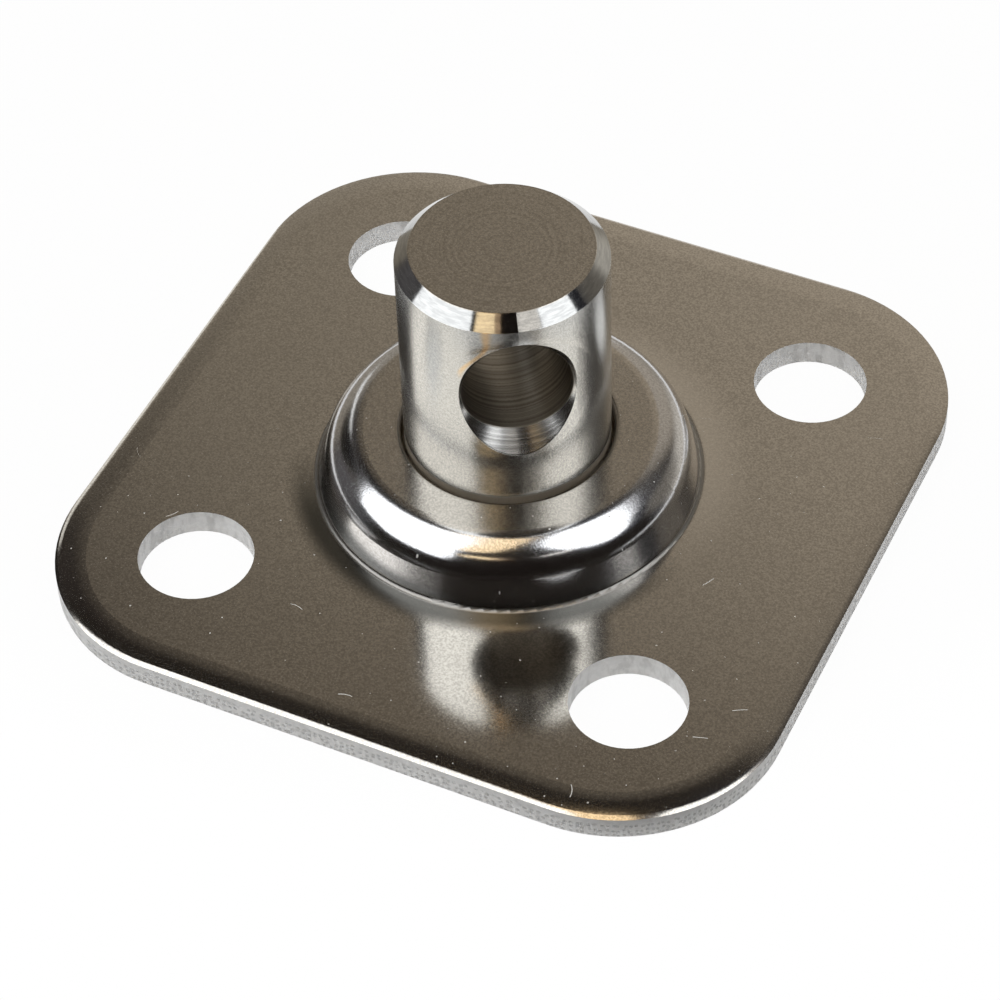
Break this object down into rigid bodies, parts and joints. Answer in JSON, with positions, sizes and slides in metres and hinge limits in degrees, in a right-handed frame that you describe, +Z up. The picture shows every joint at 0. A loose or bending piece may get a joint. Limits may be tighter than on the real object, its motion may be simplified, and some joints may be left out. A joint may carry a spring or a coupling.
{
  "type": "swivel base",
  "caption": "Square pressed deck plate whose domed centre holds down a turning upright post, cross-bored and countersunk to take a clevis pin.",
  "frame": {"origin": "centre of the plate's underside, on the axis that the post turns about", "axes": "+Z up out of the deck along the post, X and Y along the plate's straight sides"},
  "size_m": [0.044, 0.044, 0.0191],
  "materials": {
    "pressed_steel": "polished stainless sheet with sheared edges",
    "turned_steel": "turned stainless bar with a bright chamfer"
  },
  "bodies": {
    "base": {"base_plate": "pressed_steel"},
    "post": {"swivel_post": "turned_steel"}
  },
  "joints": [
    {"name": "post_swivel", "type": "hinge", "parent": "base", "child": "post", "pos_m": [0, 0, 0], "axis": [0, 0, 1], "continuous": true}
  ]
}
